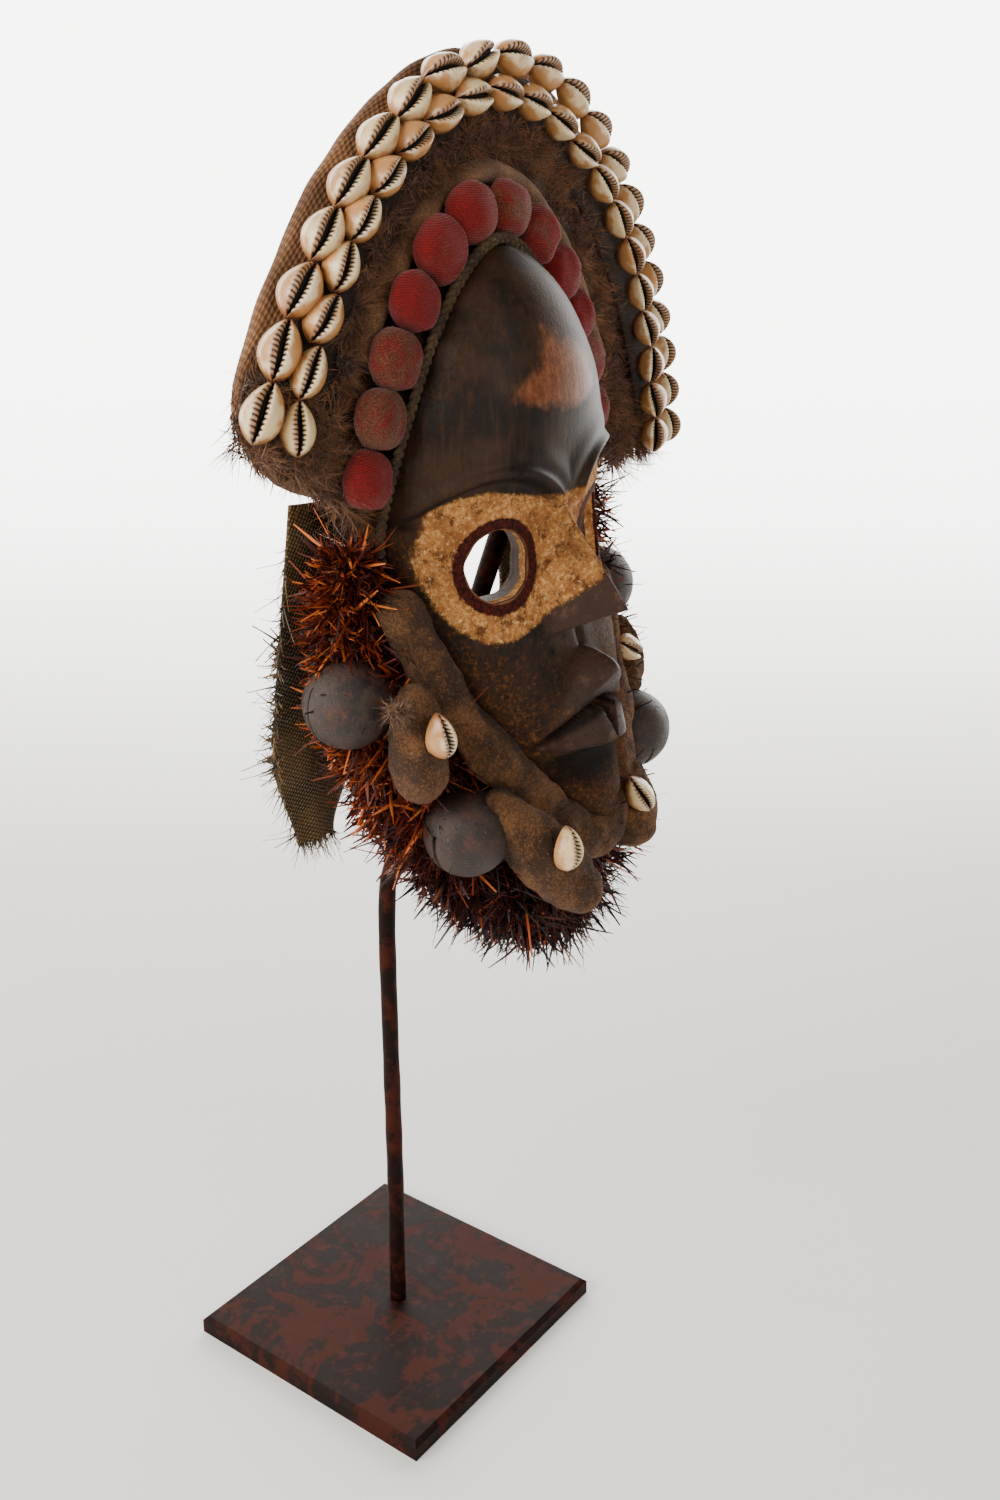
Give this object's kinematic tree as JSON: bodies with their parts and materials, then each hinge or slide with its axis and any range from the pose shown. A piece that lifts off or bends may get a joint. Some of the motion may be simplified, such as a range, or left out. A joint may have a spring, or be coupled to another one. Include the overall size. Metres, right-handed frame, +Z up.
{
  "type": "ceremonial wooden mask on stand",
  "caption": "Carved wooden face mask with stuffed cloth crest, cowrie shells, iron bells and fibre beard, held by a steel rod on a square plate.",
  "frame": {"origin": "centre of the base plate's underside (mount foot_face)", "axes": "+Z up along the stand, the mask faces -Y, +X is towards the mask's own left side"},
  "size_m": [0.2765, 0.2151, 0.6362],
  "materials": {
    "carved_wood": "dark satin patina with worn and chalky areas",
    "painted_steel": "rust-brown paint with dark blotches",
    "bell_iron": "dark, dull shine",
    "cowrie_shell": "glossy ivory with orange stains",
    "ribbed_knit": "brown ribbed knit",
    "plush": "matted brown pile",
    "brown_cloth": "worn brown cloth",
    "red_cloth": "fine-ribbed red cloth, dusty in places",
    "braided_cord": "olive-brown braid",
    "raffia_fibre": "dry red-brown fibre",
    "twill_cloth": "dark olive twill"
  },
  "bodies": {
    "root": {"base_plate": "painted_steel", "stand_rod": "painted_steel", "wooden_mask": "carved_wood", "forehead_cord": "braided_cord", "pad_backing_band": "brown_cloth", "stuffed_crest": "ribbed_knit", "crest_plush_lining": "plush", "outer_cowrie_row": "cowrie_shell", "inner_cowrie_row": "cowrie_shell", "jaw_roll": "brown_cloth", "fibre_beard": "raffia_fibre", "back_cloth_right": "twill_cloth", "back_cloth_left": "twill_cloth", "red_pad_01": "red_cloth", "red_pad_02": "red_cloth", "red_pad_03": "red_cloth", "red_pad_04": "red_cloth", "red_pad_05": "red_cloth", "red_pad_06": "red_cloth", "red_pad_07": "red_cloth", "red_pad_08": "red_cloth", "red_pad_09": "red_cloth", "red_pad_10": "red_cloth", "red_pad_11": "red_cloth", "red_pad_12": "red_cloth", "iron_bell_right_upper": "bell_iron", "jaw_lobe_right_upper": "brown_cloth", "lobe_cowrie_right_upper": "cowrie_shell", "iron_bell_right_lower": "bell_iron", "jaw_lobe_right_lower": "brown_cloth", "lobe_cowrie_right_lower": "cowrie_shell", "iron_bell_left_upper": "bell_iron", "jaw_lobe_left_upper": "brown_cloth", "lobe_cowrie_left_upper": "cowrie_shell", "iron_bell_left_lower": "bell_iron", "jaw_lobe_left_lower": "brown_cloth", "lobe_cowrie_left_lower": "cowrie_shell"}
  },
  "joints": []
}
